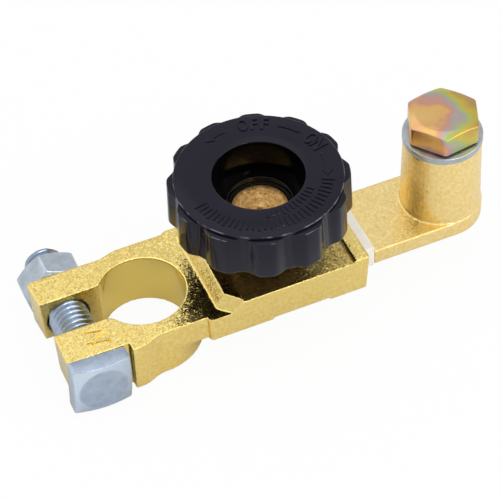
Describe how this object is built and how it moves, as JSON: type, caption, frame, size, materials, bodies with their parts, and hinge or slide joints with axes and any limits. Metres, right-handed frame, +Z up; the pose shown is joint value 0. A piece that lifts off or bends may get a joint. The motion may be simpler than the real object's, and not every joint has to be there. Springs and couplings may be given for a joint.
{
  "type": "battery terminal disconnect switch",
  "caption": "Plated clamp for a battery post with a screw-down knob switch that joins or parts it from a tapered cable post.",
  "frame": {"origin": "on the axis of the battery post's bore, in the plane of the clamp's underside", "axes": "+Z up along the bore and the knob's screw, +X from the clamp towards the cable post, +Y towards the clamp bolt's nut"},
  "size_m": [0.093, 0.0386, 0.0339],
  "materials": {
    "plated_brass": "bright plating over a fine cast grain",
    "turned_brass": "turned, with fine circular marks",
    "zinc_plate": "bright bluish zinc plating",
    "yellow_zinc": "yellow chromate with an iridescent tint",
    "white_nylon": "smooth moulded white",
    "black_plastic": "moulded gloss black"
  },
  "bodies": {
    "switch": {"switch_body": "plated_brass", "cable_arm": "plated_brass", "insulator": "white_nylon", "bottom_plate": "white_nylon", "clamp_bolt": "zinc_plate", "clamp_nut": "zinc_plate", "post_bolt": "yellow_zinc", "post_washer": "zinc_plate"},
    "washer": {"contact_washer": "turned_brass"},
    "knob": {"knob": "black_plastic", "contact_stud": "turned_brass"}
  },
  "joints": [
    {"name": "stud_travel", "type": "slide", "parent": "switch", "child": "washer", "axis": [0, 0, 1], "range_m": [-0.003, 0.0045]},
    {"name": "knob_turn", "type": "hinge", "parent": "washer", "child": "knob", "pos_m": [0.0252, 0, 0.0187], "axis": [0, 0, 1], "range_deg": [-721, 1081]}
  ],
  "couplings": [
    {"joint": "knob_turn", "follows": "stud_travel", "rad_per_m": 4188.8}
  ]
}
